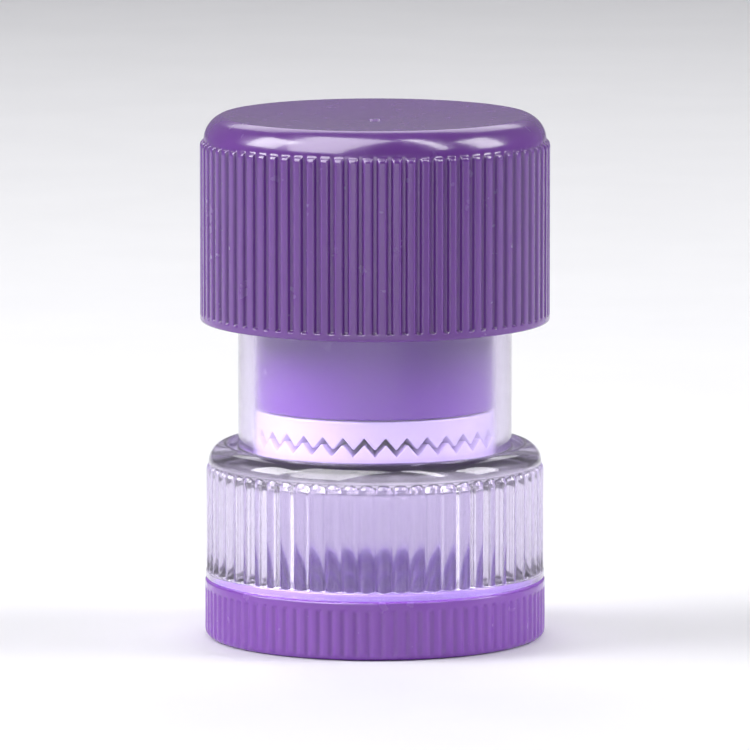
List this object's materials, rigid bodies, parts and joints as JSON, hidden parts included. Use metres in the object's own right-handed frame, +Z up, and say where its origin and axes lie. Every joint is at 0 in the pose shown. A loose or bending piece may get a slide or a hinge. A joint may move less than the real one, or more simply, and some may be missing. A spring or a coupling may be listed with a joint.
{
  "type": "pill crusher",
  "caption": "Hand-held screw-down pill crusher: a fluted cap drives toothed plates together in a clear barrel above a ribbed clear storage compartment with a screw-on foot.",
  "frame": {"origin": "centre of the flat underside of the storage base, on the surface the crusher stands on", "axes": "+Z up along the common screw axis of the cap, barrel and base"},
  "size_m": [0.048, 0.048, 0.072],
  "materials": {
    "purple_plastic": "glossy opaque purple moulded plastic",
    "clear_plastic": "clear polished moulded plastic",
    "white_plastic": "white satin moulded plastic",
    "seal_rubber": "pale translucent soft elastomer"
  },
  "bodies": {
    "base": {"storage_base": "purple_plastic"},
    "seal": {"storage_seal": "seal_rubber"},
    "chamber": {"clear_body": "clear_plastic", "anvil_disc": "white_plastic"},
    "crusher": {"crush_disc": "white_plastic"},
    "cap": {"grip_cap": "purple_plastic", "plunger": "purple_plastic"}
  },
  "joints": [
    {"name": "body_rise", "type": "slide", "parent": "base", "child": "seal", "axis": [0, 0, 1], "range_m": [0, 0.003]},
    {"name": "body_turn", "type": "hinge", "parent": "seal", "child": "chamber", "pos_m": [0, 0, 0.0083], "axis": [0, 0, 1], "range_deg": [0, 450]},
    {"name": "cap_rise", "type": "slide", "parent": "chamber", "child": "crusher", "axis": [0, 0, 1], "range_m": [0, 0.01667]},
    {"name": "cap_turn", "type": "hinge", "parent": "crusher", "child": "cap", "pos_m": [0, 0, 0.0338], "axis": [0, 0, 1], "range_deg": [0, 1500]}
  ],
  "couplings": [
    {"joint": "body_rise", "follows": "body_turn", "m_per_rad": 0.00038197},
    {"joint": "cap_rise", "follows": "cap_turn", "m_per_rad": 0.00063662}
  ]
}
